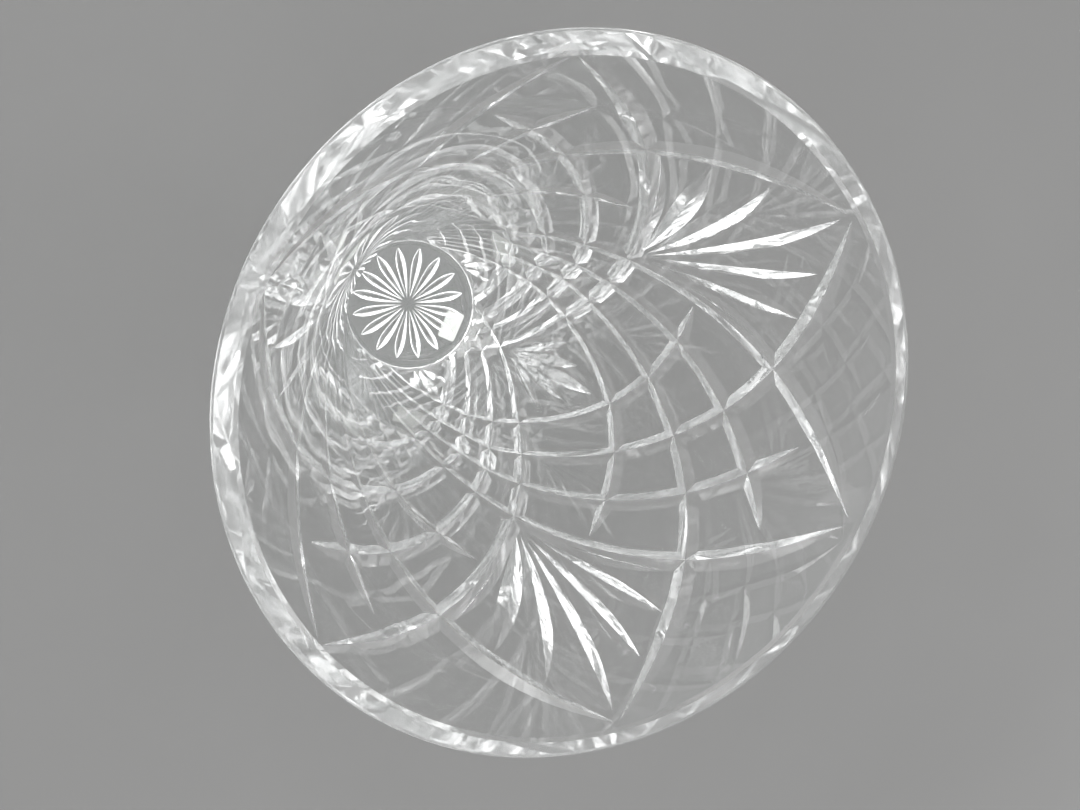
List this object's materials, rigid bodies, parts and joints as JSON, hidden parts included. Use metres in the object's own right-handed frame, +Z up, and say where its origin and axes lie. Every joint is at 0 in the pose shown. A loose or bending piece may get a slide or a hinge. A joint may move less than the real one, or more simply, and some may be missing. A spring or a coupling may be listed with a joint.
{
  "type": "cut-glass flared vessel",
  "caption": "Tall clear cut-glass vessel, narrow flat base flaring to a wide ground rim, with lattice and fan cuts and a star-cut underside.",
  "frame": {"origin": "centre of the foot, on the surface the vessel stands on", "axes": "+Z up along the vessel's axis, +X towards the tip of a lattice panel at the rim"},
  "size_m": [0.2, 0.2, 0.3],
  "materials": {
    "crystal": "clear colourless polished crystal, refractive index about 1.54, with satin-bright mitre cuts on the outside",
    "label_paper": "plain matt off-white paper, unprinted"
  },
  "bodies": {
    "root": {"glass_body": "crystal", "base_label": "label_paper"}
  },
  "joints": []
}
